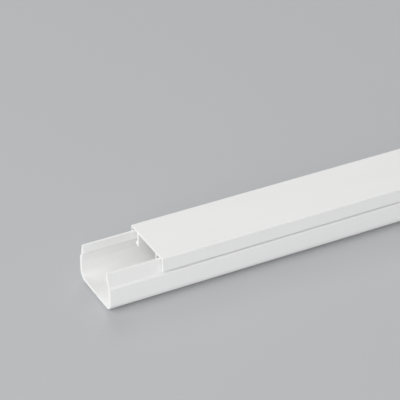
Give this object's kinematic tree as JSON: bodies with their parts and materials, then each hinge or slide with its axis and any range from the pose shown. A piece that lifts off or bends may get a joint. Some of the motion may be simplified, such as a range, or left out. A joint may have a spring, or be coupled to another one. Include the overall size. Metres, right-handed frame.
{
  "type": "cord cover raceway",
  "caption": "Straight self-adhesive cord cover: a white U-shaped base with rounded back corners and lipped rims, and a flat clip-on cover that slides back along it.",
  "frame": {"origin": "middle of the face it lies on: the outside of the release liner, centred across the raceway and half way along the base", "axes": "+X along the raceway, towards the end where the cover sticks out; +Z from the adhesive back towards the cover's face; +Y across"},
  "size_m": [0.4204, 0.025, 0.0171],
  "materials": {
    "white_upvc": "extruded rigid PVC, satin white",
    "white_foam": "closed-cell polyethylene foam tape, white",
    "yellow_liner": "silicone-coated release paper, yellow"
  },
  "bodies": {
    "base": {"base_channel": "white_upvc", "foam_tape": "white_foam", "release_liner": "yellow_liner"},
    "cover": {"snap_cover": "white_upvc"}
  },
  "joints": [
    {"name": "cover_slide", "type": "slide", "parent": "base", "child": "cover", "axis": [1, 0, 0], "range_m": [-0.0204, 0.3796]}
  ]
}
